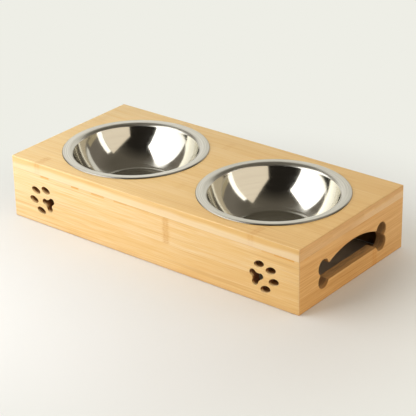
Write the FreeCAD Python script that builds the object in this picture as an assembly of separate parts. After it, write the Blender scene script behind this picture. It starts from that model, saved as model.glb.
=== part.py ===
import FreeCAD, Part
import math
import os

from FreeCAD import Vector

# A low bamboo stand whose top board carries two steel bowls that lift out.
# Lengths are in millimetres. The stand runs along X, its front faces -Y and +Z is up.
# The origin is on the ground under the middle of the stand.

# Bowls: pressed from steel sheet, hung on a flat flange whose edge is turned down onto the board
rim_radius = 84.0
rim_edge_radius = 1.2
rim_skirt = 0.3
flange_width = 6.0
lip_radius = 8.0
lip_slope = 52.0
bend_radius = 1.6
wall_lean = 16.0
bowl_depth = 44.0
bowl_floor_radius = 38.5
bowl_floor_fillet = 10.0
bowl_sheet = 0.7

# Layout of the stand around the bowls
bowl_gap = 26.5
end_margin = 18.75
side_margin = 12.5
stand_height = 75.0

# Bamboo boards
top_thickness = 14.0
panel_thickness = 12.0
edge_ease = 1.2
joint_ease = 0.15
seat_clearance = 1.7
seat_ease = 0.8

# Paw cut-outs: the toes lie ahead of the paw's middle, the pad's lobes behind it
paw_from_end = 47.0
paw_tilt = 17.0
toe_length = 13.0
toe_width = 8.0
inner_toe_ahead = 14.0
inner_toe_aside = 6.4
outer_toe_ahead = 0.6
outer_toe_aside = 14.0
front_lobe_behind = 1.3
front_lobe_radius = 3.5
rear_lobe_behind = 10.6
rear_lobe_aside = 5.2
rear_lobe_radius = 4.0
pad_flank_radius = 6.0
pad_notch_radius = 3.2

# Bone-shaped hand holes, drawn about the middle of the end panel
knuckle_radius = 9.3
knuckle_reach = 53.5
knuckle_spread = 7.5
grip_sill_depth = 10.0
grip_crest_height = 18.5
grip_arch_radius = 112.0

# Dowels between the panels and the top board
dowel_diameter = 6.0
dowel_in_panel = 11.0
dowel_cover = 4.2
dowel_end_gap = 0.8
dowel_fit = 0.1
dowel_chamfer = 0.6
long_panel_dowels = 4
long_dowel_from_corner = 8.0
end_panel_dowels = 2
end_dowel_from_corner = 10.0

# Splines glued across the mitred corners, stopped short of the ground
spline_thickness = 3.0
spline_width = 7.0
spline_stop = 8.0
spline_fit = 0.1

# How far a cutting shape runs past the face that it leaves
overrun = 1.0

rim_height = rim_edge_radius + rim_skirt
stand_length = 4 * rim_radius + bowl_gap + 2 * end_margin
stand_width = 2 * (rim_radius + side_margin)
panel_height = stand_height - top_thickness
panel_middle = panel_height / 2
dowel_in_top = top_thickness - dowel_cover - dowel_end_gap
bowl_place = rim_radius + bowl_gap / 2
bowl_centres = {"left_bowl": -bowl_place, "right_bowl": bowl_place}

# Each panel is drawn along X with its outer face on y = 0, then moved out and turned to its side
long_panel = {
    "length": stand_length,
    "out": stand_width / 2,
    "dowels": long_panel_dowels,
    "from_corner": long_dowel_from_corner,
}
end_panel = {
    "length": stand_width,
    "out": stand_length / 2,
    "dowels": end_panel_dowels,
    "from_corner": end_dowel_from_corner,
}
panels = {
    "front": dict(long_panel, turn=0),
    "right_end": dict(end_panel, turn=90),
    "back": dict(long_panel, turn=180),
    "left_end": dict(end_panel, turn=270),
}

# Each corner is named with the panel that has it at its +X end before turning
corners = {"front_right": "front", "back_right": "right_end", "back_left": "back", "front_left": "left_end"}

middle = Vector(0, 0, 0)
upward = Vector(0, 0, 1)


def line(start, end):
    return Part.LineSegment(start, end).toShape()


def arc(centre, start, end, clockwise=False):
    """Arc about a centre in the XY plane, counter-clockwise unless told otherwise."""
    first = math.atan2(start.y - centre.y, start.x - centre.x)
    last = math.atan2(end.y - centre.y, end.x - centre.x)
    sweep = (last - first) % (2 * math.pi)
    if clockwise:
        sweep -= 2 * math.pi
    halfway = first + sweep / 2
    radius = (start - centre).Length
    through = centre + Vector(math.cos(halfway), math.sin(halfway), 0) * radius
    return Part.Arc(start, through, end).toShape()


def filled(edges):
    return Part.Face(Part.Wire(edges))


def to_side(shape, panel):
    """Move a shape drawn in a panel's own frame out and round to that panel's side."""
    moved = shape.copy()
    moved.translate(Vector(0, -panel["out"], 0))
    moved.rotate(middle, upward, panel["turn"])
    return moved


def through_cut(outline, x, z):
    """Stand a flat outline up at (x, z) on a panel's face and run it right through the panel."""
    cutter = outline.extrude(upward * (panel_thickness + 2 * overrun))
    upright = FreeCAD.Rotation(Vector(1, 0, 0), 90)
    cutter.Placement = FreeCAD.Placement(Vector(x, panel_thickness + overrun, z), upright)
    return cutter


def eased_block():
    """The glued-up stand's outer form, with every outside edge rounded over."""
    corner = Vector(-stand_length / 2, -stand_width / 2, 0)
    block = Part.makeBox(stand_length, stand_width, stand_height, corner)
    return block.makeFillet(edge_ease, block.Edges)


# Bowls

# Drawn as a half section in the XY plane: X is the distance from the bowl's axis and Y is the height
flange_top = stand_height + rim_height
lip_centre = Vector(rim_radius - flange_width, flange_top - lip_radius, 0)
lip_facing = Vector(-math.sin(math.radians(lip_slope)), math.cos(math.radians(lip_slope)), 0)
bend_centre = lip_centre + lip_facing * (lip_radius - bend_radius)
wall_facing = Vector(-math.cos(math.radians(wall_lean)), math.sin(math.radians(wall_lean)), 0)


def bowl_wall_radius(fillet_centre):
    """Radius of the wall's arc, tangent to the bend above and to the floor's fillet below."""
    drop = fillet_centre - (bend_centre + wall_facing * bend_radius)
    reach = drop.dot(wall_facing)
    return (drop.dot(drop) - bowl_floor_fillet ** 2) / (2 * (reach - bowl_floor_fillet))


def bowl_skin(inset):
    """One face of the sheet from the axis to the rim, set into the metal from the inside face."""
    floor = flange_top - bowl_depth
    fillet_centre = Vector(bowl_floor_radius, floor + bowl_floor_fillet, 0)
    wall_radius = bowl_wall_radius(fillet_centre)
    wall_centre = bend_centre + wall_facing * (bend_radius + wall_radius)
    edge_centre = Vector(rim_radius - rim_edge_radius, flange_top - rim_edge_radius, 0)
    towards_fillet = (fillet_centre - wall_centre).normalize()

    floor_middle = Vector(0, floor - inset, 0)
    floor_end = Vector(bowl_floor_radius, floor - inset, 0)
    wall_foot = wall_centre + towards_fillet * (wall_radius + inset)
    wall_head = bend_centre + wall_facing * (bend_radius - inset)
    lip_foot = lip_centre + lip_facing * (lip_radius - inset)
    flange_start = lip_centre + Vector(0, lip_radius - inset, 0)
    flange_end = edge_centre + Vector(0, rim_edge_radius - inset, 0)
    edge_head = edge_centre + Vector(rim_edge_radius - inset, 0, 0)
    edge_foot = Vector(edge_head.x, stand_height, 0)
    edges = [
        line(floor_middle, floor_end),
        arc(fillet_centre, floor_end, wall_foot),
        arc(wall_centre, wall_foot, wall_head),
        arc(bend_centre, wall_head, lip_foot, clockwise=True),
        arc(lip_centre, lip_foot, flange_start, clockwise=True),
        line(flange_start, flange_end),
        arc(edge_centre, flange_end, edge_head, clockwise=True),
        line(edge_head, edge_foot),
    ]
    return edges, floor_middle, edge_foot


def bowl(centre):
    """A bowl turned from its section: flat floor, curved wall, bend, lip, flange and turned-down edge."""
    inside, inside_middle, inside_foot = bowl_skin(0)
    outside, outside_middle, outside_foot = bowl_skin(bowl_sheet)
    closing = [line(inside_foot, outside_foot), line(outside_middle, inside_middle)]
    section = filled(Part.sortEdges(inside + outside + closing)[0])
    shell = section.revolve(middle, Vector(0, 1, 0), 360)
    shell.rotate(middle, Vector(1, 0, 0), 90)
    shell.translate(Vector(centre, 0, 0))
    return shell


# Dowels

def dowel_places(panel):
    """Places along a panel's length where its dowels stand, evenly between its inside corners."""
    count = panel["dowels"]
    span = panel["length"] - 2 * (panel_thickness + panel["from_corner"])
    spacing = span / max(count - 1, 1)
    return [spacing * (step - (count - 1) / 2) for step in range(count)]


def dowel(panel, x):
    """A plain pin with chamfered ends, half in the panel's top edge and half in the top board."""
    foot = Vector(x, panel_thickness / 2, panel_height - dowel_in_panel)
    pin = Part.makeCylinder(dowel_diameter / 2, dowel_in_panel + dowel_in_top, foot)
    ends = [edge for edge in pin.Edges if edge.Closed]
    return to_side(pin.makeChamfer(dowel_chamfer, ends), panel)


def dowel_holes(panel):
    """The drilled space round each of a panel's dowels, with room for glue at both ends."""
    depth = dowel_in_panel + dowel_in_top + 2 * dowel_end_gap
    bottom = panel_height - dowel_in_panel - dowel_end_gap
    radius = dowel_diameter / 2 + dowel_fit
    places = [Vector(x, panel_thickness / 2, bottom) for x in dowel_places(panel)]
    return [to_side(Part.makeCylinder(radius, depth, place), panel) for place in places]


# Mitre splines

def corner_tongue(panel, play):
    """Upright tongue across the middle of the mitre at a panel's +X end, with play all round it."""
    thickness = spline_thickness + 2 * play
    width = spline_width + 2 * play
    foot = spline_stop - play
    tongue = Part.makeBox(thickness, width, panel_height - foot, Vector(-thickness / 2, -width / 2, foot))
    along_mitre = FreeCAD.Rotation(Vector(1, 0, 0), Vector(1, -1, 0))
    mitre_middle = Vector((panel["length"] - panel_thickness) / 2, panel_thickness / 2, 0)
    tongue.Placement = FreeCAD.Placement(mitre_middle, along_mitre).multiply(tongue.Placement)
    return to_side(tongue, panel)


# Paw and bone outlines

def oval(x, y, length, width):
    rim = Part.Ellipse(Vector(x, y, 0), length / 2, width / 2).toShape()
    return filled([rim])


def disc(radius):
    return filled([Part.Circle(middle, upward, radius).toShape()])


def lobed_outline(lobes, waists):
    """Round lobes, listed counter-clockwise, joined by hollow arcs that are tangent to both neighbours."""
    hollows = []
    for (start, start_radius), (end, end_radius), waist in zip(lobes, lobes[1:] + lobes[:1], waists):
        along = (end - start).normalize()
        outward = Vector(along.y, -along.x, 0)
        gap = (end - start).Length
        near = start_radius + waist
        far = end_radius + waist
        step = (near ** 2 - far ** 2 + gap ** 2) / (2 * gap)
        centre = start + along * step + outward * math.sqrt(near ** 2 - step ** 2)
        leave = start + (centre - start) * (start_radius / near)
        arrive = end + (centre - end) * (end_radius / far)
        hollows.append((centre, leave, arrive))
    edges = []
    for place, (centre, leave, arrive) in enumerate(hollows):
        lobe_centre = lobes[place][0]
        edges.append(arc(lobe_centre, hollows[place - 1][2], leave))
        edges.append(arc(centre, leave, arrive, clockwise=True))
    return filled(edges)


def paw_outlines():
    """Four toes and a three-lobed pad, drawn with the toes towards +X and then tilted."""
    pad_lobes = [
        (Vector(-front_lobe_behind, 0, 0), front_lobe_radius),
        (Vector(-rear_lobe_behind, rear_lobe_aside, 0), rear_lobe_radius),
        (Vector(-rear_lobe_behind, -rear_lobe_aside, 0), rear_lobe_radius),
    ]
    outlines = [lobed_outline(pad_lobes, [pad_flank_radius, pad_notch_radius, pad_flank_radius])]
    for ahead, aside in ((inner_toe_ahead, inner_toe_aside), (outer_toe_ahead, outer_toe_aside)):
        outlines.append(oval(ahead, aside, toe_length, toe_width))
        outlines.append(oval(ahead, -aside, toe_length, toe_width))
    for outline in outlines:
        outline.rotate(middle, upward, paw_tilt)
    return outlines


def paw_cuts():
    """A paw near each end of the front panel, with the toes pointing outwards and up."""
    place = stand_length / 2 - paw_from_end
    right = [through_cut(outline, place, panel_middle) for outline in paw_outlines()]
    left = [cutter.mirror(middle, Vector(1, 0, 0)) for cutter in right]
    return right + left


def grip_outline():
    """The bone's shank: a straight sill below and an arched edge above, out to the knuckles' middles."""
    arch_centre = Vector(0, grip_crest_height - grip_arch_radius, 0)
    shoulder = arch_centre.y + math.sqrt(grip_arch_radius ** 2 - knuckle_reach ** 2)
    left_sill = Vector(-knuckle_reach, -grip_sill_depth, 0)
    right_sill = Vector(knuckle_reach, -grip_sill_depth, 0)
    right_shoulder = Vector(knuckle_reach, shoulder, 0)
    left_shoulder = Vector(-knuckle_reach, shoulder, 0)
    return filled([
        line(left_sill, right_sill),
        line(right_sill, right_shoulder),
        arc(arch_centre, right_shoulder, left_shoulder),
        line(left_shoulder, left_sill),
    ])


def bone_cut():
    """Hand hole through an end panel: four round knuckles and the shank between them."""
    bone = through_cut(grip_outline(), 0, panel_middle)
    for x in (-knuckle_reach, knuckle_reach):
        for z in (-knuckle_spread, knuckle_spread):
            bone = bone.fuse(through_cut(disc(knuckle_radius), x, panel_middle + z))
    return bone.removeSplitter()


# Boards

def top_board():
    """The top board: a round seat under each bowl and blind dowel holes in its underside."""
    corner = Vector(-stand_length / 2, -stand_width / 2, panel_height)
    board = Part.makeBox(stand_length, stand_width, top_thickness, corner)
    lower_edges = [edge for edge in board.Edges if edge.BoundBox.ZMax < stand_height - top_thickness / 2]
    board = board.makeChamfer(joint_ease, lower_edges)
    lip_rise = stand_height - lip_centre.y
    seat_radius = lip_centre.x - math.sqrt((lip_radius - bowl_sheet) ** 2 - lip_rise ** 2) + seat_clearance
    for centre in bowl_centres.values():
        board = board.cut(Part.makeCylinder(seat_radius, top_thickness, Vector(centre, 0, panel_height)))
    seat_edges = [edge for edge in board.Edges if edge.Closed]
    board = board.makeFillet(seat_ease, seat_edges)
    for panel in panels.values():
        board = board.cut(dowel_holes(panel))
    return board.common(eased_block())


def side_panel(panel, cutters):
    """A panel with mitred ends, its cut-outs, its dowel holes and a stopped groove in each mitre."""
    outer = panel["length"] / 2
    inner = outer - panel_thickness
    plan = Part.makePolygon([
        Vector(-outer, 0, 0),
        Vector(outer, 0, 0),
        Vector(inner, panel_thickness, 0),
        Vector(-inner, panel_thickness, 0),
        Vector(-outer, 0, 0),
    ])
    board = Part.Face(plan).extrude(upward * panel_height)
    if cutters:
        board = board.cut(cutters)
    board = to_side(board, panel)
    grooves = [corner_tongue(panels[name], spline_fit) for name in corners.values()]
    board = board.cut(dowel_holes(panel) + grooves)
    return board.common(eased_block())


pieces = {"top_board": top_board()}
pieces["front_panel"] = side_panel(panels["front"], paw_cuts())
pieces["back_panel"] = side_panel(panels["back"], [])
pieces["left_end_panel"] = side_panel(panels["left_end"], [bone_cut()])
pieces["right_end_panel"] = side_panel(panels["right_end"], [bone_cut()])
for corner, panel_name in corners.items():
    pieces[corner + "_mitre_spline"] = corner_tongue(panels[panel_name], 0)
for panel_name, panel in panels.items():
    for number, place in enumerate(dowel_places(panel), start=1):
        pieces["%s_dowel_%d" % (panel_name, number)] = dowel(panel, place)
for name, centre in bowl_centres.items():
    pieces[name] = bowl(centre)

os.makedirs("parts", exist_ok=True)
for name, shape in pieces.items():
    shape.exportStep("parts/%s.step" % name)
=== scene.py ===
import math

import bpy
from mathutils import Matrix, Vector


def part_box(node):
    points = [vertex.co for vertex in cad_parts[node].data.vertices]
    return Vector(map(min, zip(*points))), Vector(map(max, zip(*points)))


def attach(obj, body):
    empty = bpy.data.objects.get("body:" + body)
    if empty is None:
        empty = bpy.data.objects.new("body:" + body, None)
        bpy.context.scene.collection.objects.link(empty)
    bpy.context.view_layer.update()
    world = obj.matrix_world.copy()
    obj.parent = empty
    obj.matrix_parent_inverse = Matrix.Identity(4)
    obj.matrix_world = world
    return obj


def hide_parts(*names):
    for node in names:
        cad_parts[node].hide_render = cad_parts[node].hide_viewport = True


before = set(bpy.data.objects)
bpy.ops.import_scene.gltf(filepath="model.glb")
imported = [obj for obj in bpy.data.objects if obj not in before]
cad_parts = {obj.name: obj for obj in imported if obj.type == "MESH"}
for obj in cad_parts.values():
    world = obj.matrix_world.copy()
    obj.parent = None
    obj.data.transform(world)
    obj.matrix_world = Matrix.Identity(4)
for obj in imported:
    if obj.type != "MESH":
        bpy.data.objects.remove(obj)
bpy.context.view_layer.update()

# Dowels
# Twelve beech pins, cut from bought-in rod and chamfered at both ends. They are glued half into the
# panels' top edges and half into the top board, so they are out of sight in the finished stand.


def linear(hex_colour):
    """An sRGB hex colour as the linear red, green, blue and alpha that shaders take."""
    shares = [int(hex_colour[start:start + 2], 16) / 255 for start in (1, 3, 5)]
    return [s / 12.92 if s <= 0.04045 else ((s + 0.055) / 1.055) ** 2.4 for s in shares] + [1]


def node(tree, kind, inputs={}, stops=(), **settings):
    """Adds a shader node with its settings and its ramp's stops. Inputs are values, or links from nodes."""
    made = tree.nodes.new("ShaderNode" + kind)
    for name, value in settings.items():
        setattr(made, name, value)
    for number, (position, colour) in enumerate(stops):
        if number > 1:
            made.color_ramp.elements.new(position)
        made.color_ramp.elements[number].position = position
        made.color_ramp.elements[number].color = colour
    open_inputs = [socket for socket in made.inputs if socket.enabled]
    for key, value in inputs.items():
        if isinstance(key, int):
            socket = open_inputs[key]
        else:
            socket = next(candidate for candidate in open_inputs if candidate.name == key)
        if isinstance(value, bpy.types.Node):
            value = next(output for output in value.outputs if output.enabled)
        if isinstance(value, bpy.types.NodeSocket):
            tree.links.new(value, socket)
        else:
            socket.default_value = value
    return made


def blank_material(name):
    """A material with nothing in its node tree yet."""
    material = bpy.data.materials.new(name)
    material.use_nodes = True
    material.node_tree.nodes.clear()
    return material


def dress(piece, material):
    """Gives a piece this one material."""
    piece.data.materials.clear()
    piece.data.materials.append(material)


# Planed beech: pale pinkish tan, close straight grain along the pin, dry and unfinished.
pale_beech = "#DDB98F"
tan_beech = "#C79C6C"
beech = blank_material("planed beech")
tree = beech.node_tree
coordinates = node(tree, "TexCoord")
# Grain lines about 0.6 mm apart and 25 mm long
grain_place = node(tree, "Mapping", {"Vector": coordinates.outputs["Object"], "Scale": (1600, 1600, 40)})
grain = node(tree, "TexNoise", {"Vector": grain_place, "Scale": 1.0, "Detail": 3.0})
beech_stops = [(0.35, linear(pale_beech)), (0.65, linear(tan_beech))]
tone = node(tree, "ValToRGB", {"Fac": grain}, stops=beech_stops)
relief = node(tree, "Bump", {"Height": grain, "Strength": 0.3, "Distance": 0.0001})
surface = node(tree, "BsdfPrincipled", {"Base Color": tone, "Roughness": 0.62, "Normal": relief})
node(tree, "OutputMaterial", {"Surface": surface})
dowel_names = [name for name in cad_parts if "_dowel_" in name]
for name in dowel_names:
    dress(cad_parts[name], beech)


# Mitre splines
# Four thin bamboo tongues, 3 mm thick, glued into stopped grooves across the mitred corners.
# They are sawn from the same bamboo as the boards, with the grain upright, and are covered by the top board.

# Sawn bamboo: straw coloured with upright fibres, dull because it has no lacquer.
straw_bamboo = "#E6CB98"
tan_bamboo = "#CFA567"
sawn_bamboo = blank_material("sawn bamboo")
tree = sawn_bamboo.node_tree
coordinates = node(tree, "TexCoord")
# Fibres about 0.8 mm wide and 30 mm long
fibre_place = node(tree, "Mapping", {"Vector": coordinates.outputs["Object"], "Scale": (1250, 1250, 33)})
fibre = node(tree, "TexNoise", {"Vector": fibre_place, "Scale": 1.0, "Detail": 3.0})
sawn_stops = [(0.35, linear(straw_bamboo)), (0.68, linear(tan_bamboo))]
tone = node(tree, "ValToRGB", {"Fac": fibre}, stops=sawn_stops)
relief = node(tree, "Bump", {"Height": fibre, "Strength": 0.4, "Distance": 0.0001})
surface = node(tree, "BsdfPrincipled", {"Base Color": tone, "Roughness": 0.66, "Normal": relief})
node(tree, "OutputMaterial", {"Surface": surface})
spline_names = [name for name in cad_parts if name.endswith("_mitre_spline")]
for name in spline_names:
    dress(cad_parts[name], sawn_bamboo)


# Panels
# Four bamboo boards, 12 mm thick, stood on edge and mitred at the corners. Each is glued up from two or
# three flat strips, planed, eased and lacquered. Two paws are cut through the front, a bone through each end.

pale_bamboo = "#F4E0B8"
honey_bamboo = "#E6BD7B"
amber_bamboo = "#D3984B"
grain_line_brown = "#C48639"
knuckle_brown = "#C98428"
# Pale cream of the eased edges: rubbed wear and a painted highlight
worn_and_highlight_cream = "#F6E6C2"
# Dull brown of the inner faces: painted shade inside the closed stand
inside_shade_brown = "#7D5D38"
board_length = 400.0


def bamboo_grain(tree, turn, low, high, strips, tones, figure, tone_and_sheen_drift):
    """Colour, relief and place of a board glued up from strips.

    After the turn, X runs with the grain, Y through the board and Z across the strips, in millimetres
    from low to high. Each strip is its tone, from 0 pale to 1 amber, its knuckle's place as a share of the
    board's length from -X, and how strongly the knuckle shows. Tones are the pale, middle and dark colours,
    figure is how strongly the lines show, and tone_and_sheen_drift is how much riper the board is painted
    from -X to +X; on the front this is painted sheen, paler towards -X where the lacquer mirrors the bright
    floor.
    """
    coordinates = node(tree, "TexCoord")
    in_mm = {"Scale": (1000, 1000, 1000), "Rotation": turn}
    place = node(tree, "Mapping", {"Vector": coordinates.outputs["Object"], **in_mm})
    facing = node(tree, "Mapping", {"Vector": coordinates.outputs["Normal"], "Rotation": turn},
                  vector_type="VECTOR")
    axes = node(tree, "SeparateXYZ", {"Vector": place})

    # Each strip has its own tone and comes from another part of the culm, so the figure breaks at glue lines
    share = node(tree, "MapRange", {"Value": axes.outputs["Z"], "From Min": low, "From Max": high})
    stops = [(number / len(strips), (*values, 1)) for number, values in enumerate(strips)]
    strip = node(tree, "ValToRGB", {"Fac": share}, stops=stops)
    strip.color_ramp.interpolation = "CONSTANT"
    strip_values = node(tree, "SeparateXYZ", {"Vector": strip})
    strip_tone = strip_values.outputs["X"]
    knuckle_share = strip_values.outputs["Y"]
    knuckle_strength = strip_values.outputs["Z"]
    culm_shift = (900, 70, 0)
    own_place = node(tree, "VectorMath", {0: strip, 1: culm_shift, 2: place}, operation="MULTIPLY_ADD")

    # Broad streaks 5 mm wide and 130 mm long, and fibres 42 mm long, drawn 1.0 mm wide where real ones are
    # 0.2 mm, so that they show
    streak_place = node(tree, "VectorMath", {0: own_place, 1: (1 / 130, 1 / 5, 1 / 5)}, operation="MULTIPLY")
    streak = node(tree, "TexNoise", {"Vector": streak_place, "Scale": 1.0, "Detail": 2.0, "Roughness": 0.55})
    fibre_place = node(tree, "VectorMath", {0: own_place, 1: (1 / 42, 1 / 1.0, 1 / 1.0)},
                       operation="MULTIPLY")
    fibre = node(tree, "TexNoise", {"Vector": fibre_place, "Scale": 1.0, "Detail": 3.0, "Roughness": 0.55})
    even_tone = 0.10 - 0.475 * figure
    ripeness = node(tree, "Math", {0: streak, 1: 0.55 * figure, 2: even_tone}, operation="MULTIPLY_ADD")
    ripeness = node(tree, "Math", {0: strip_tone, 1: 0.58, 2: ripeness}, operation="MULTIPLY_ADD")
    ripeness = node(tree, "Math", {0: fibre, 1: 0.8 * figure, 2: ripeness}, operation="MULTIPLY_ADD")
    # A steady drift in tone along the board; on the front it is painted sheen, paler where the lacquer
    # mirrors the bright floor
    tone_and_sheen_per_mm = tone_and_sheen_drift / board_length
    ripeness = node(tree, "Math", {0: axes.outputs["X"], 1: tone_and_sheen_per_mm, 2: ripeness},
                    operation="MULTIPLY_ADD")
    stops = [(position, linear(tone)) for position, tone in zip((0.16, 0.52, 0.95), tones)]
    colour = node(tree, "ValToRGB", {"Fac": ripeness}, stops=stops)

    # Sparse darker grain lines, 2.2 mm wide and up to 150 mm long, and closer together near the low edge
    line_place = node(tree, "VectorMath", {0: own_place, 1: (1 / 150, 1 / 2.2, 1 / 2.2)},
                      operation="MULTIPLY")
    line = node(tree, "TexNoise", {"Vector": line_place, "Scale": 1.0, "Detail": 1.0})
    low_edge = node(tree, "MapRange", {"Value": share, "From Min": 0.08, "From Max": 0.3,
                                       "To Min": 0.09, "To Max": 0.0})
    line = node(tree, "Math", {0: line, 1: low_edge}, operation="ADD")
    line = node(tree, "MapRange", {"Value": line, "From Min": 0.60, "From Max": 0.74, "To Max": 0.5 * figure})
    colour = node(tree, "Mix", {"Factor": line, "A": colour, "B": linear(grain_line_brown)}, data_type="RGBA")

    # Glue lines, drawn 0.5 mm wide
    strip_width = (high - low) / len(strips)
    from_glue = node(tree, "Math", {0: share, 1: len(strips)}, operation="MULTIPLY")
    from_glue = node(tree, "Math", {0: from_glue, 1: 0.5}, operation="PINGPONG")
    glue = node(tree, "MapRange", {"Value": from_glue, "From Min": 0.1 / strip_width,
                                   "From Max": 0.5 / strip_width, "To Min": 0.3 * figure, "To Max": 0.0})
    colour = node(tree, "Mix", {"Factor": glue, "A": colour, "B": linear(grain_line_brown)}, data_type="RGBA")

    # Knuckles, where the culm had a joint every 300 mm: two soft uneven lines across the strip, 2.2 mm to
    # either side of the joint, in a warmer band 14 mm long
    culm_joints = 300.0
    waver = 9.0
    band_half = 7.0
    ring_from_joint = 2.2
    uneven_place = node(tree, "VectorMath", {0: own_place, 1: (0, 0, 1 / 3.5)}, operation="MULTIPLY")
    uneven = node(tree, "TexNoise", {"Vector": uneven_place, "Scale": 1.0, "Detail": 2.0})
    along = node(tree, "Math", {0: uneven, 1: waver, 2: axes.outputs["X"]}, operation="MULTIPLY_ADD")
    knuckle_at = node(tree, "Math", {0: knuckle_share, 1: board_length, 2: (waver - board_length) / 2},
                      operation="MULTIPLY_ADD")
    from_knuckle = node(tree, "Math", {0: along, 1: knuckle_at}, operation="SUBTRACT")
    from_knuckle = node(tree, "Math", {0: from_knuckle, 1: culm_joints / 2, 2: -culm_joints / 2},
                        operation="WRAP")
    from_knuckle = node(tree, "Math", {0: from_knuckle}, operation="ABSOLUTE")
    band = node(tree, "MapRange", {"Value": from_knuckle, "From Min": 0.8, "From Max": band_half,
                                   "To Min": 0.14 + 0.22 * figure, "To Max": 0.0},
                interpolation_type="SMOOTHSTEP")
    band = node(tree, "Math", {0: band, 1: knuckle_strength}, operation="MULTIPLY")
    colour = node(tree, "Mix", {"Factor": band, "A": colour, "B": linear(amber_bamboo)}, data_type="RGBA")
    from_ring = node(tree, "Math", {0: from_knuckle, 1: ring_from_joint}, operation="SUBTRACT")
    from_ring = node(tree, "Math", {0: from_ring}, operation="ABSOLUTE")
    ring = node(tree, "MapRange", {"Value": from_ring, "From Min": 0.2, "From Max": 1.9,
                                   "To Min": 0.16 + 0.18 * figure, "To Max": 0.0},
                interpolation_type="SMOOTHSTEP")
    patchy = node(tree, "MapRange", {"Value": fibre, "From Min": 0.42, "From Max": 0.62,
                                     "To Min": 0.2, "To Max": 1.0})
    ring = node(tree, "Math", {0: ring, 1: patchy}, operation="MULTIPLY")
    ring = node(tree, "Math", {0: ring, 1: knuckle_strength}, operation="MULTIPLY")
    colour = node(tree, "Mix", {"Factor": ring, "A": colour, "B": linear(knuckle_brown)}, data_type="RGBA")
    # Specks in the band, 2.2 mm long and 1.3 mm wide
    speck_place = node(tree, "VectorMath", {0: own_place, 1: (1 / 2.2, 1 / 1.3, 1 / 1.3)},
                       operation="MULTIPLY")
    speck = node(tree, "TexNoise", {"Vector": speck_place, "Scale": 1.0, "Detail": 1.0})
    speck = node(tree, "MapRange", {"Value": speck, "From Min": 0.55, "From Max": 0.72, "To Max": 1.1})
    speck = node(tree, "Math", {0: speck, 1: band}, operation="MULTIPLY")
    colour = node(tree, "Mix", {"Factor": speck, "A": colour, "B": linear(knuckle_brown)}, data_type="RGBA")

    # Eased edges are painted paler: partly rubbed wear, partly a painted highlight along the arrises
    outward = node(tree, "VectorMath", {0: facing}, operation="ABSOLUTE")
    outward = node(tree, "SeparateXYZ", {"Vector": outward})
    widest = node(tree, "Math", {0: outward.outputs["X"], 1: outward.outputs["Y"]}, operation="MAXIMUM")
    widest = node(tree, "Math", {0: widest, 1: outward.outputs["Z"]}, operation="MAXIMUM")
    wear_and_highlight = node(tree, "MapRange", {"Value": widest, "From Min": 0.75, "From Max": 0.97,
                                     "To Min": 0.35, "To Max": 0.0})
    colour = node(tree, "Mix", {"Factor": wear_and_highlight, "A": colour, "B": linear(worn_and_highlight_cream)}, data_type="RGBA")

    # Glue lines and knuckle lines lie a little lower than the fibres
    hollow = node(tree, "Math", {0: glue, 1: -1.5, 2: fibre}, operation="MULTIPLY_ADD")
    hollow = node(tree, "Math", {0: ring, 1: -1.0, 2: hollow}, operation="MULTIPLY_ADD")
    return {"place": axes, "facing": facing, "colour": colour, "fibre": fibre, "relief": hollow,
            "own_place": own_place}


def lacquered(tree, colour, grain):
    """The satin lacquer over a board: a soft sheen that the fibres break up a little."""
    gloss = node(tree, "MapRange", {"Value": grain["fibre"], "From Min": 0.3, "From Max": 0.7,
                                    "To Min": 0.38, "To Max": 0.50})
    relief = node(tree, "Bump", {"Height": grain["relief"], "Strength": 0.35, "Distance": 0.00012})
    surface = node(tree, "BsdfPrincipled", {"Base Color": colour, "Roughness": gloss, "IOR": 1.47,
                                            "Normal": relief})
    node(tree, "OutputMaterial", {"Surface": surface})


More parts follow.
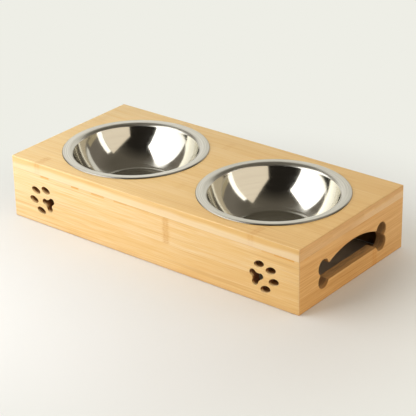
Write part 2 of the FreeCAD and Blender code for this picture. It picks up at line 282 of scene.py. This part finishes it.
def panel_bamboo(name, turn, inward, out, reach, strips, tones, figure, tone_and_sheen_drift, wall_tones, dashes):
    """Lacquered bamboo of one panel: honey coloured, browner on the sawn walls of its cut-outs, with painted
    shade deep in them and on the inner face.

    Inward is the sign of the way into the stand, out is the distance of the outer face from the stand's
    middle, and reach is how far from the panel's middle its cut-outs may lie. The other values are as for
    the grain, with the colours of the cut-outs' walls just inside, deep in, painted darker as painted shade,
    and on the lower lip, painted paler as painted light, and with each glue dash's start, end and strength.
    """
    top_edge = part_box("front_panel")[1].z * 1000
    material = blank_material(name)
    tree = material.node_tree
    grain = bamboo_grain(tree, turn, 0.0, top_edge, strips, tones, figure, tone_and_sheen_drift)
    colour = grain["colour"]
    lengthwise = grain["place"].outputs["X"]
    height = grain["place"].outputs["Z"]

    # Glue squeezed out under the top board: amber dashes 1.8 mm high
    glue_amber = "#DCA045"
    stops = [(0, (0, 0, 0, 1))]
    for start, end, strength in dashes:
        stops.append((0.5 + start / board_length, (strength, strength, strength, 1)))
        stops.append((0.5 + end / board_length, (0, 0, 0, 1)))
    panel_share = node(tree, "MapRange", {"Value": lengthwise, "From Min": -board_length / 2,
                                          "From Max": board_length / 2})
    dash = node(tree, "ValToRGB", {"Fac": panel_share}, stops=stops)
    dash.color_ramp.interpolation = "CONSTANT"
    seam = node(tree, "MapRange", {"Value": height, "From Min": top_edge - 2.4, "From Max": top_edge - 1.4})
    seam = node(tree, "Math", {0: seam, 1: dash}, operation="MULTIPLY")
    colour = node(tree, "Mix", {"Factor": seam, "A": colour, "B": linear(glue_amber)}, data_type="RGBA")

    # The foot: the lowest 3 mm are painted warmer and darker towards the bottom edge
    foot_brown = "#C98A3E"
    foot = node(tree, "MapRange", {"Value": height, "From Min": 0.3, "From Max": 3.2,
                                   "To Min": 0.45, "To Max": 0.0})
    colour = node(tree, "Mix", {"Factor": foot, "A": colour, "B": linear(foot_brown)}, data_type="RGBA")

    # Walls of the cut-outs: they face along or across the panel, and lie 3 mm or more inside its edges
    edge_margin = 3.0
    facing = node(tree, "SeparateXYZ", {"Vector": grain["facing"]})
    outward = node(tree, "Math", {0: facing.outputs["Y"]}, operation="ABSOLUTE")
    wall = node(tree, "MapRange", {"Value": outward, "From Min": 0.3, "From Max": 0.6,
                                   "To Min": 1.0, "To Max": 0.0})
    above_foot = node(tree, "Math", {0: height, 1: edge_margin}, operation="GREATER_THAN")
    below_top = node(tree, "Math", {0: height, 1: top_edge - edge_margin}, operation="LESS_THAN")
    from_middle = node(tree, "Math", {0: lengthwise}, operation="ABSOLUTE")
    off_mitre = node(tree, "Math", {0: from_middle, 1: reach}, operation="LESS_THAN")
    for edge in (above_foot, below_top, off_mitre):
        wall = node(tree, "Math", {0: wall, 1: edge}, operation="MULTIPLY")
    # Deeper into the cut-outs the walls are painted darker, as painted shade, with saw ridges 1.4 mm apart
    near_tone, shaded_deep_tone, lit_lip_tone = wall_tones
    depth = node(tree, "Math", {0: grain["place"].outputs["Y"], 1: inward, 2: out}, operation="MULTIPLY_ADD")
    deep = node(tree, "MapRange", {"Value": depth, "From Min": 1.5, "From Max": 6.0, "To Max": 0.6})
    ridge_place = node(tree, "VectorMath", {0: grain["own_place"], 1: (1 / 14, 1 / 1.4, 1 / 14)},
                       operation="MULTIPLY")
    ridge = node(tree, "TexNoise", {"Vector": ridge_place, "Scale": 1.0, "Detail": 2.0})
    ridge = node(tree, "Math", {0: ridge, 1: 0.5}, operation="SUBTRACT")
    deep = node(tree, "Math", {0: ridge, 1: 2.0, 2: deep}, operation="MULTIPLY_ADD")
    # Walls that face along the grain show cut ends, which are darker
    cut_end = node(tree, "Math", {0: facing.outputs["X"]}, operation="ABSOLUTE")
    deep = node(tree, "Math", {0: cut_end, 1: 0.55, 2: deep}, operation="MULTIPLY_ADD")
    sawn = node(tree, "ValToRGB", {"Fac": deep}, stops=[(0.0, linear(near_tone)), (1.0, linear(shaded_deep_tone))])
    # The lower lips of the cut-outs are eased; where they face up, their first 3 mm are painted paler, as
    # painted light from above
    lip = node(tree, "MapRange", {"Value": depth, "From Min": 1.8, "From Max": 3.6,
                                  "To Min": 1.0, "To Max": 0.0})
    upward = node(tree, "MapRange", {"Value": facing.outputs["Z"], "From Min": 0.3, "From Max": 0.7})
    lip = node(tree, "Math", {0: lip, 1: upward}, operation="MULTIPLY")
    sawn = node(tree, "Mix", {"Factor": lip, "A": sawn, "B": linear(lit_lip_tone)}, data_type="RGBA")
    colour = node(tree, "Mix", {"Factor": wall, "A": colour, "B": sawn}, data_type="RGBA")

    # The inner face is painted dull brown, as painted shade inside the closed stand
    inside_shade = node(tree, "MapRange", {"Value": facing.outputs["Y"], "From Min": 0.6 * inward,
                                  "From Max": 0.9 * inward, "To Max": 0.9})
    colour = node(tree, "Mix", {"Factor": inside_shade, "A": colour, "B": linear(inside_shade_brown)}, data_type="RGBA")
    lacquered(tree, colour, grain)
    return material


long_turn = (0, 0, 0)
long_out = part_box("front_panel")[0].y * -1000
long_reach = 182
long_tones = (pale_bamboo, honey_bamboo, amber_bamboo)
# Cut-out walls just inside, deep in as painted shade, and on the lower lip as painted light
long_walls = ("#D8A266", "#70421C", "#FFE2A8")
long_figure = 0.62
end_turn = (0, 0, math.radians(-90))
end_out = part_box("right_end_panel")[1].x * 1000
end_reach = 80
end_tones = ("#EAC790", "#DDAE6C", "#C38940")
# The end's cut-out walls, with their own painted shade deep in and painted light on the lower lip
end_walls = ("#E2B074", "#A07C54", "#D09E64")
end_figure = 1.0
front_strips = [(0.47, 0.88, 0.0), (0.39, 0.565, 1.3)]
back_strips = [(0.52, 0.30, 1.0), (0.42, 0.72, 1.0)]
right_strips = [(0.62, 0.605, 1.3), (0.52, 0.21, 0.6), (0.56, 0.86, 0.6)]
left_strips = [(0.50, 0.33, 1.0), (0.62, 0.77, 1.0), (0.46, 0.55, 1.0)]
# The front's drift is painted sheen: paler at the left, where the lacquer mirrors the bright floor
front_sheen_drift = 0.15
back_drift = -0.08
right_drift = -0.1
left_drift = 0.1
front_dashes = [(-157, -144, 0.8), (-110, -99, 0.9), (-81, -61, 0.7), (-48, -29, 0.6), (-29, 3, 0.35),
                (152, 168, 0.4), (168, 193, 0.9)]
back_dashes = [(-168, -140, 0.7), (-40, -22, 0.6), (65, 90, 0.8), (150, 162, 0.6)]
right_dashes = [(-88, -80, 0.5), (30, 44, 0.4)]
left_dashes = [(-60, -42, 0.6), (52, 70, 0.5)]
looks = {
    "front_panel": ("lacquered bamboo, front panel", long_turn, 1, long_out, long_reach,
                    front_strips, long_tones, long_figure, front_sheen_drift, long_walls, front_dashes),
    "back_panel": ("lacquered bamboo, back panel", long_turn, -1, long_out, long_reach,
                   back_strips, long_tones, long_figure, back_drift, long_walls, back_dashes),
    "right_end_panel": ("lacquered bamboo, right end", end_turn, 1, end_out, end_reach,
                        right_strips, end_tones, end_figure, right_drift, end_walls, right_dashes),
    "left_end_panel": ("lacquered bamboo, left end", end_turn, -1, end_out, end_reach,
                       left_strips, end_tones, end_figure, left_drift, end_walls, left_dashes),
}
for name, look in looks.items():
    dress(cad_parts[name], panel_bamboo(*look))


# Top board
# One bamboo board, 14 mm thick, pressed from two plies: a golden face ply over a paler core.
# Its two round seats are routed through, its edges are eased, and it is glued and dowelled onto the panels.

top_low, top_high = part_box("top_board")
face_ply = 6.5
ply_joint = top_high.z * 1000 - face_ply
top_tones = ("#F3DAA4", "#E6BE78", "#D2984A")
core_cream = "#F3E0BE"
end_grain_dark = "#C8985E"
end_grain_pale = "#D9AC71"
top_figure = 0.42
top_drift = 0.19
top_strips = [(0.54, 0.85, 1.1), (0.48, 0.20, 0.2), (0.55, 0.52, 0.3), (0.50, 0.93, 0.2), (0.56, 0.34, 0.3),
              (0.50, 0.66, 0.3), (0.53, 0.10, 0.3), (0.47, 0.78, 0.3), (0.55, 0.46, 0.5), (0.50, 0.26, 0.3)]

# Lacquered bamboo with its plies showing on the edges: golden face ply, cream core, tan end grain.
top_bamboo = blank_material("lacquered bamboo, top board")
tree = top_bamboo.node_tree
flat_turn = (math.radians(90), 0, 0)
grain = bamboo_grain(tree, flat_turn, top_low.y * 1000, top_high.y * 1000, top_strips, top_tones,
                     top_figure, top_drift)
height = node(tree, "Math", {0: grain["place"].outputs["Y"], 1: -1.0}, operation="MULTIPLY")
facing = node(tree, "SeparateXYZ", {"Vector": grain["facing"]})
lengthways = node(tree, "Math", {0: facing.outputs["X"]}, operation="ABSOLUTE")
upward = node(tree, "Math", {0: facing.outputs["Y"]}, operation="ABSOLUTE")

# The core shows paler on the edges, and its joint with the face ply wanders by 2 mm over a hand's length
wander_place = node(tree, "VectorMath", {0: grain["own_place"], 1: (1 / 70, 0, 1 / 70)}, operation="MULTIPLY")
wander = node(tree, "TexNoise", {"Vector": wander_place, "Scale": 1.0, "Detail": 2.0})
ply_height = node(tree, "Math", {0: wander, 1: 7.0, 2: height}, operation="MULTIPLY_ADD")
core = node(tree, "MapRange", {"Value": ply_height, "From Min": ply_joint + 1.8, "From Max": ply_joint + 5.2,
                               "To Min": 0.55, "To Max": 0.0})
edge = node(tree, "MapRange", {"Value": upward, "From Min": 0.5, "From Max": 0.9,
                               "To Min": 1.0, "To Max": 0.0})
core = node(tree, "Math", {0: core, 1: edge}, operation="MULTIPLY")
colour = node(tree, "Mix", {"Factor": core, "A": grain["colour"], "B": linear(core_cream)}, data_type="RGBA")

# End grain: cut fibres drink the lacquer and turn tan, with streaks about 1 mm apart
cut_fibre_place = node(tree, "VectorMath", {0: grain["own_place"], 1: (1 / 8, 1 / 1.0, 1 / 30)},
                       operation="MULTIPLY")
cut_fibre = node(tree, "TexNoise", {"Vector": cut_fibre_place, "Scale": 1.0, "Detail": 2.0})
end_stops = [(0.3, linear(end_grain_dark)), (0.7, linear(end_grain_pale))]
end_tone = node(tree, "ValToRGB", {"Fac": cut_fibre}, stops=end_stops)
end_face = node(tree, "MapRange", {"Value": lengthways, "From Min": 0.45, "From Max": 0.8})
# The core's end is tan at the front half and paler towards the back
end_core = node(tree, "MapRange", {"Value": grain["place"].outputs["Z"], "From Min": -8.0, "From Max": 26.0,
                                   "To Min": 0.85, "To Max": 0.5})
end_face_ply = node(tree, "MapRange", {"Value": height, "From Min": ply_joint - 1.5,
                                       "From Max": ply_joint + 1.5, "To Max": 0.95})
end_ply = node(tree, "Math", {0: end_core, 1: end_face_ply}, operation="MAXIMUM")
end_grain = node(tree, "Math", {0: end_face, 1: end_ply}, operation="MULTIPLY")
colour = node(tree, "Mix", {"Factor": end_grain, "A": colour, "B": end_tone}, data_type="RGBA")

# The underside is painted dull brown, as painted shade inside the closed stand
inside_shade = node(tree, "MapRange", {"Value": facing.outputs["Y"], "From Min": 0.6, "From Max": 0.9, "To Max": 0.9})
colour = node(tree, "Mix", {"Factor": inside_shade, "A": colour, "B": linear(inside_shade_brown)}, data_type="RGBA")
lacquered(tree, colour, grain)
dress(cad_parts["top_board"], top_bamboo)


# Bowls
# Two bowls pressed from 0.7 mm stainless steel sheet. The hollow is mirror polished, the flat flange is
# brushed round, and the outer edge is turned down onto the board. They lie loose in their seats and lift out.

bowl_low, bowl_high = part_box("right_bowl")
bowl_centre = (bowl_low.x + bowl_high.x) / 2
rim_radius = (bowl_high.x - bowl_low.x) / 2
flange_top = bowl_high.z
rim_edge_radius = 0.0023
rim_edge_turn = math.radians(60)
flange_width = 0.006
flange_rings = [0.0796, 0.0808]
lip_radius = 0.008
lip_slope = math.radians(52)
bend_radius = 0.0016
wall_lean = math.radians(16)
bowl_depth = 0.044
floor_radius = 0.0385
floor_fillet = 0.010
floor_shares = (0.04, 0.2, 0.4, 0.6, 0.8, 1.0)
sheet = 0.0007
crease_angle = math.radians(40)
least_spread = 1e-7
merge_distance = 1e-6
turns = 192
fillet_steps = 14
wall_steps = 32
bend_steps = 6
lip_steps = 18
edge_steps = 8

# The inside face as rings of radius and height, from the floor's middle to the end of the turned-down edge
floor_height = flange_top - bowl_depth
lip_centre = Vector((rim_radius - flange_width, flange_top - lip_radius))
fillet_centre = Vector((floor_radius, floor_height + floor_fillet))
edge_centre = Vector((rim_radius - rim_edge_radius * math.sin(rim_edge_turn), flange_top - rim_edge_radius))
lip_facing = Vector((-math.sin(lip_slope), math.cos(lip_slope)))
bend_centre = lip_centre + lip_facing * (lip_radius - bend_radius)
wall_facing = Vector((-math.cos(wall_lean), math.sin(wall_lean)))
wall_head = bend_centre + wall_facing * bend_radius
drop = fillet_centre - wall_head
wall_radius = (drop.length_squared - floor_fillet ** 2) / (2 * (drop.dot(wall_facing) - floor_fillet))
wall_centre = bend_centre + wall_facing * (bend_radius + wall_radius)
foot_angle = math.atan2(fillet_centre.y - wall_centre.y, fillet_centre.x - wall_centre.x)
head_angle = math.atan2(-wall_facing.y, -wall_facing.x)


def arc_rings(centre, radius, start, end, count):
    """Rings along an arc of the bowl's section, after the first."""
    angles = [start + (end - start) * step / count for step in range(1, count + 1)]
    return [centre + Vector((math.cos(angle), math.sin(angle))) * radius for angle in angles]


rings = [Vector((floor_radius * share, floor_height)) for share in floor_shares]
rings += arc_rings(fillet_centre, floor_fillet, -math.pi / 2, foot_angle, fillet_steps)
rings += arc_rings(wall_centre, wall_radius, foot_angle, head_angle, wall_steps)
rings += arc_rings(bend_centre, bend_radius, math.pi - wall_lean, math.pi / 2 + lip_slope, bend_steps)
rings += arc_rings(lip_centre, lip_radius, math.pi / 2 + lip_slope, math.pi / 2, lip_steps)
rings += [Vector((radius, flange_top)) for radius in flange_rings + [edge_centre.x]]
rings += arc_rings(edge_centre, rim_edge_radius, math.pi / 2, math.pi / 2 - rim_edge_turn, edge_steps)


def raise_bowl(name, centre):
    """Raises a bowl from a small disc, ring by ring, then gives the skin its sheet's thickness."""
    bpy.ops.object.select_all(action="DESELECT")
    bpy.ops.mesh.primitive_circle_add(vertices=turns, radius=rings[0].x, fill_type="TRIFAN",
                                      location=(centre, 0, rings[0].y))
    bowl = bpy.context.object
    bowl.name = name
    bpy.ops.object.transform_apply(location=True, rotation=False, scale=False)
    bpy.ops.object.mode_set(mode="EDIT")
    bpy.ops.mesh.select_mode(type="EDGE")
    bpy.ops.mesh.select_all(action="SELECT")
    bpy.ops.mesh.region_to_loop()
    for last, ring in zip(rings, rings[1:]):
        bpy.ops.mesh.extrude_edges_move(TRANSFORM_OT_translate={"value": (0, 0, ring.y - last.y)})
        if abs(ring.x - last.x) > least_spread:
            spread = ring.x / last.x
            bpy.ops.transform.resize(value=(spread, spread, 1), center_override=(centre, 0, 0))
    bpy.ops.mesh.select_all(action="SELECT")
    bpy.ops.mesh.remove_doubles(threshold=merge_distance)
    bpy.ops.mesh.normals_make_consistent(inside=False)
    bpy.ops.object.mode_set(mode="OBJECT")
    # The skin's normals have to point into the hollow, so that the sheet's thickness goes outwards
    if bowl.data.polygons[0].normal.z < 0:
        bowl.data.flip_normals()
    wall = bowl.modifiers.new("sheet", "SOLIDIFY")
    wall.thickness = sheet
    wall.offset = -1
    wall.use_even_offset = True
    bpy.ops.object.modifier_apply(modifier=wall.name)
    bpy.ops.object.shade_smooth_by_angle(angle=crease_angle)
    return bowl


steel_dark = "#B2AFA4"
steel_bright = "#D8D5CA"
# Greyer satin of the underside, darkened as painted shade
shaded_steel_underside = "#716D66"
# Darker turned-down edge: painted shade where it meets the board
shaded_steel_edge = "#857D72"


def stainless_steel(name, centre):
    """Pressed stainless steel: a mirror inside with faint turning lines, a brushed flange, a satin underside,
    and painted shade on the underside and the turned-down edge.

    Distances are in millimetres from the bowl's middle.
    """
    base_end = 46.0
    wall_start = 52.0
    lip_foot = 71.3
    lip_brushed = 71.6
    turned_edge = 82.0
    material = blank_material(name)
    tree = material.node_tree
    coordinates = node(tree, "TexCoord")
    place = node(tree, "Mapping", {"Vector": coordinates.outputs["Object"],
                                   "Location": (-centre * 1000, 0, 0), "Scale": (1000, 1000, 1000)})
    flat = node(tree, "VectorMath", {0: place, 1: (1, 1, 0)}, operation="MULTIPLY")
    radius = node(tree, "VectorMath", {0: flat}, operation="LENGTH")
    radius = radius.outputs["Value"]
    around = node(tree, "SeparateXYZ", {"Vector": node(tree, "VectorMath", {0: flat}, operation="NORMALIZE")})
    facing = node(tree, "SeparateXYZ", {"Vector": coordinates.outputs["Normal"]})

    # Brush marks run round the bowl; drawn 1.0 mm apart where real ones are 0.1 mm, so that they show
    spacing = node(tree, "Math", {0: radius, 1: 1 / 1.0}, operation="MULTIPLY")
    mark_place = node(tree, "CombineXYZ", {"X": spacing, "Y": around.outputs["X"], "Z": around.outputs["Y"]})
    mark = node(tree, "TexNoise", {"Vector": mark_place, "Scale": 1.0, "Detail": 3.0, "Roughness": 0.6})
    flange = node(tree, "MapRange", {"Value": radius, "From Min": lip_foot, "From Max": lip_brushed})
    upward = node(tree, "MapRange", {"Value": facing.outputs["Z"], "From Min": 0.45, "From Max": 0.6})
    brushed = node(tree, "Math", {0: flange, 1: upward}, operation="MULTIPLY")
    underside = node(tree, "MapRange", {"Value": facing.outputs["Z"], "From Min": -0.15, "From Max": -0.05,
                                        "To Min": 0.5, "To Max": 0.0})
    dull = node(tree, "Math", {0: brushed, 1: underside}, operation="MAXIMUM")

    # The wall is polished brightest, the base less, and the brushed flange least
    base = node(tree, "MapRange", {"Value": radius, "From Min": base_end, "From Max": wall_start,
                                   "To Min": 0.19, "To Max": 0.07})
    polish = node(tree, "MapRange", {"Value": dull, "To Min": base, "To Max": 0.26})
    roughness = node(tree, "Math", {0: mark, 1: 0.06, 2: polish}, operation="MULTIPLY_ADD")
    depth = node(tree, "MapRange", {"Value": dull, "To Min": 0.006, "To Max": 1.0})
    groove = node(tree, "Math", {0: mark, 1: depth}, operation="MULTIPLY")
    relief = node(tree, "Bump", {"Height": groove, "Strength": 0.5, "Distance": 0.00006})
    contrast = node(tree, "MapRange", {"Value": dull, "To Min": 0.12, "To Max": 1.0})
    mark_tone = node(tree, "Math", {0: mark, 1: 0.5}, operation="SUBTRACT")
    mark_tone = node(tree, "Math", {0: mark_tone, 1: contrast, 2: 0.5}, operation="MULTIPLY_ADD")
    mark_stops = [(0.3, linear(steel_dark)), (0.7, linear(steel_bright))]
    bright = node(tree, "ValToRGB", {"Fac": mark_tone}, stops=mark_stops)

    # The underside is a greyer satin, also darkened as painted shade under the bowl, and the turned-down edge
    # is painted darker as painted shade where it meets the board
    bright = node(tree, "Mix", {"Factor": underside, "A": bright, "B": linear(shaded_steel_underside)},
                  data_type="RGBA")
    edge = node(tree, "Math", {0: radius, 1: turned_edge}, operation="GREATER_THAN")
    side = node(tree, "MapRange", {"Value": facing.outputs["Z"], "From Min": 0.6, "From Max": 0.97,
                                   "To Min": 1.0, "To Max": 0.0})
    edge = node(tree, "Math", {0: edge, 1: side}, operation="MULTIPLY")
    tone = node(tree, "Mix", {"Factor": edge, "A": bright, "B": linear(shaded_steel_edge)}, data_type="RGBA")
    surface = node(tree, "BsdfPrincipled", {"Base Color": tone, "Metallic": 1.0, "Roughness": roughness,
                                            "Normal": relief})
    node(tree, "OutputMaterial", {"Surface": surface})
    return material


for side, centre in (("left", -bowl_centre), ("right", bowl_centre)):
    bowl = raise_bowl(side + "_steel_bowl", centre)
    dress(bowl, stainless_steel("stainless steel, %s bowl" % side, centre))
    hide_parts(side + "_bowl")
    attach(bowl, side + "_bowl")


# Studio
# A pale paper floor, lit panels placed where the bowls mirror them, a soft fill overhead, a dim room and
# a camera at the photograph's angle. None of it belongs to the stand.

backdrop_white = "#EEEEE6"
paper_white = "#E4E4E2"
shaded_paper = "#C6B8A6"
floor_size = 16
floor_drop = 0.0002

bpy.ops.object.select_all(action="DESELECT")
bpy.ops.mesh.primitive_plane_add(size=floor_size, location=(0, 0, -floor_drop))
floor = bpy.context.object
floor.name = "studio_floor"
bpy.ops.object.transform_apply(location=True, rotation=False, scale=False)

# Matt paper: near white, and far from the stand as pale as the backdrop, both to the camera and in the bowls
paper = blank_material("seamless paper")
tree = paper.node_tree
coordinates = node(tree, "TexCoord")
# The paper between the stand's inner walls lies in deep shade and looks browner
half_inner_length = 0.188
half_inner_width = 0.0845
aside = node(tree, "VectorMath", {0: coordinates.outputs["Object"]}, operation="ABSOLUTE")
aside = node(tree, "SeparateXYZ", {"Vector": aside})
between_ends = node(tree, "Math", {0: aside.outputs["X"], 1: half_inner_length}, operation="LESS_THAN")
between_sides = node(tree, "Math", {0: aside.outputs["Y"], 1: half_inner_width}, operation="LESS_THAN")
inside = node(tree, "Math", {0: between_ends, 1: between_sides}, operation="MULTIPLY")
tone = node(tree, "Mix", {"Factor": inside, "A": linear(paper_white), "B": linear(shaded_paper)},
            data_type="RGBA")
# The stand's shadow shows in full near its middle, and fades out between these two distances
shadow_middle = (0.06, -0.10, 0)
shadow_full = 0.165
shadow_end = 0.44
distance = node(tree, "VectorMath", {0: coordinates.outputs["Object"], 1: shadow_middle},
                operation="DISTANCE")
far = node(tree, "MapRange", {"Value": distance.outputs["Value"], "From Min": shadow_full,
                              "From Max": shadow_end}, interpolation_type="SMOOTHSTEP")
outside = node(tree, "Math", {0: 1.0, 1: inside}, operation="SUBTRACT")
far = node(tree, "Math", {0: far, 1: outside}, operation="MULTIPLY")
path = node(tree, "LightPath")
seen = node(tree, "Math", {0: path.outputs["Is Camera Ray"], 1: path.outputs["Is Glossy Ray"]},
            operation="MAXIMUM")
seen_far = node(tree, "Math", {0: far, 1: seen}, operation="MULTIPLY")
lit = node(tree, "BsdfDiffuse", {"Color": tone})
glow = node(tree, "Emission", {"Color": linear(backdrop_white), "Strength": 1.0})
surface = node(tree, "MixShader", {0: seen_far, 1: lit, 2: glow})
node(tree, "OutputMaterial", {"Surface": surface})
dress(floor, paper)


def lit_panel(name, low, high, light, fall, colour):
    """A glowing panel between its low and high pairs of corners, each left then right.

    Light is its strength at the bottom and at the top, where 1 renders white, and fall is the share of it
    that is lost at the left and gained at the right.
    """
    bpy.ops.object.select_all(action="DESELECT")
    bpy.ops.mesh.primitive_plane_add(size=1)
    panel = bpy.context.object
    panel.name = name
    for corner, place in zip(panel.data.vertices, low + high):
        corner.co = place
    cloth = blank_material(name + " cloth")
    tree = cloth.node_tree
    place = node(tree, "SeparateXYZ", {"Vector": node(tree, "TexCoord").outputs["Object"]})
    strength = node(tree, "MapRange", {"Value": place.outputs["Z"], "From Max": max(high[0][2], high[1][2]),
                                       "To Min": light[0], "To Max": light[1]})
    share = node(tree, "MapRange", {"Value": place.outputs["X"], "From Min": low[0][0], "From Max": low[1][0],
                                    "To Min": 1 - fall, "To Max": 1 + fall})
    strength = node(tree, "Math", {0: strength, 1: share}, operation="MULTIPLY")
    glow = node(tree, "Emission", {"Color": linear(colour), "Strength": strength})
    node(tree, "OutputMaterial", {"Surface": glow})
    dress(panel, cloth)
    panel.visible_camera = False
    panel.visible_shadow = False


lit_panel("key_softbox", ((-0.50, -0.14, 0), (-0.13, -0.82, 0)), ((-0.38, -0.07, 0.56), (0.02, -0.77, 0.88)),
          light=(2.2, 4.1), fall=0.28, colour="#FFFFFF")
lit_panel("right_softbox", ((0.90, -0.77, 0), (0.39, 0.16, 0)), ((0.90, -0.77, 0.72), (0.39, 0.16, 0.62)),
          light=(1.33, 1.33), fall=0, colour="#F6E9D6")
lit_panel("right_strip", ((0.76, 0.27, 0), (0.737, 0.439, 0)), ((0.76, 0.27, 0.86), (0.737, 0.439, 0.86)),
          light=(2.4, 2.4), fall=0, colour="#FFFBF4")
lit_panel("side_wall", ((0.711, 0.43, 0), (0.414, 0.70, 0)), ((0.711, 0.43, 0.21), (0.414, 0.70, 0.26)),
          light=(0.7, 0.7), fall=0, colour="#E4D4B0")
lit_panel("back_board", ((0.43, 0.90, 0), (-0.62, 0.72, 0)), ((0.43, 0.90, 0.30), (-0.62, 0.72, 1.2)),
          light=(1.05, 1.05), fall=0, colour="#FBF9F2")
lit_panel("left_board", ((-0.62, 0.72, 0), (-0.95, 0.20, 0)), ((-0.62, 0.72, 1.3), (-0.95, 0.20, 1.3)),
          light=(1.15, 1.15), fall=0, colour="#FFFDF8")

# A square of soft light overhead, which the bowls don't mirror; at a light of 1 it would look white
overhead_size = 2.4
overhead_light = 0.30
overhead_place = (-0.2, -0.1, 1.7)
overhead_white = "#FFFAF0"
bpy.ops.object.light_add(type="AREA", location=overhead_place)
overhead = bpy.context.object
overhead.name = "overhead_fill"
overhead.data.size = overhead_size
overhead.data.color = linear(overhead_white)[:3]
overhead.data.energy = overhead_light * math.pi * overhead_size ** 2
overhead.visible_camera = False
overhead.visible_glossy = False

# The room: pale to the camera, dim grey to the bowls, dimmer overhead, and darkest behind the camera
room_grey = "#878077"
ceiling_grey = "#6B655B"
dark_grey = "#2A2723"
dark_azimuth = math.radians(30)
dark_rise = 0.35
world = bpy.data.worlds.new("studio room")
bpy.context.scene.world = world
world.use_nodes = True
tree = world.node_tree
tree.nodes.clear()
coordinates = node(tree, "TexCoord")
behind_camera = Vector((math.sin(dark_azimuth), -math.cos(dark_azimuth), dark_rise)).normalized()
towards = node(tree, "VectorMath", {0: coordinates.outputs["Generated"], 1: behind_camera},
               operation="DOT_PRODUCT")
dark = node(tree, "MapRange", {"Value": towards.outputs["Value"], "From Min": 0.55, "From Max": 0.85})
height = node(tree, "SeparateXYZ", {"Vector": coordinates.outputs["Generated"]})
ceiling = node(tree, "MapRange", {"Value": height.outputs["Z"], "From Min": 0.5, "From Max": 0.8})
room = node(tree, "Mix", {"Factor": ceiling, "A": linear(room_grey), "B": linear(ceiling_grey)},
            data_type="RGBA")
room = node(tree, "Mix", {"Factor": dark, "A": room, "B": linear(dark_grey)}, data_type="RGBA")
path = node(tree, "LightPath")
seen = node(tree, "Mix", {"Factor": path.outputs["Is Camera Ray"], "A": room, "B": linear(backdrop_white)},
            data_type="RGBA")
light = node(tree, "Background", {"Color": seen, "Strength": 1.0})
node(tree, "OutputWorld", {"Surface": light})

# Camera: 139 mm lens on a 36 mm sensor, 1.77 m from the stand, 39 degrees round from the front and 25 up
azimuth = math.radians(38.96)
elevation = math.radians(25.47)
roll = math.radians(-1.13)
aim = Vector((0.01339, -0.00863, 0.0350))
camera_distance = 1.7748
flat_backward = Vector((math.sin(azimuth), -math.cos(azimuth), 0))
backward = flat_backward * math.cos(elevation) + Vector((0, 0, math.sin(elevation)))
level_right = (-backward).cross(Vector((0, 0, 1))).normalized()
level_up = level_right.cross(-backward)
camera_right = level_right * math.cos(roll) + level_up * math.sin(roll)
camera_up = level_up * math.cos(roll) - level_right * math.sin(roll)
camera_turn = Matrix((camera_right, camera_up, backward)).transposed().to_4x4()
bpy.ops.object.camera_add()
camera = bpy.context.object
camera.data.lens = 138.83
camera.data.sensor_width = 36
camera.matrix_world = Matrix.Translation(aim + backward * camera_distance) @ camera_turn
bpy.context.scene.camera = camera
bpy.context.scene.view_settings.view_transform = "Standard"
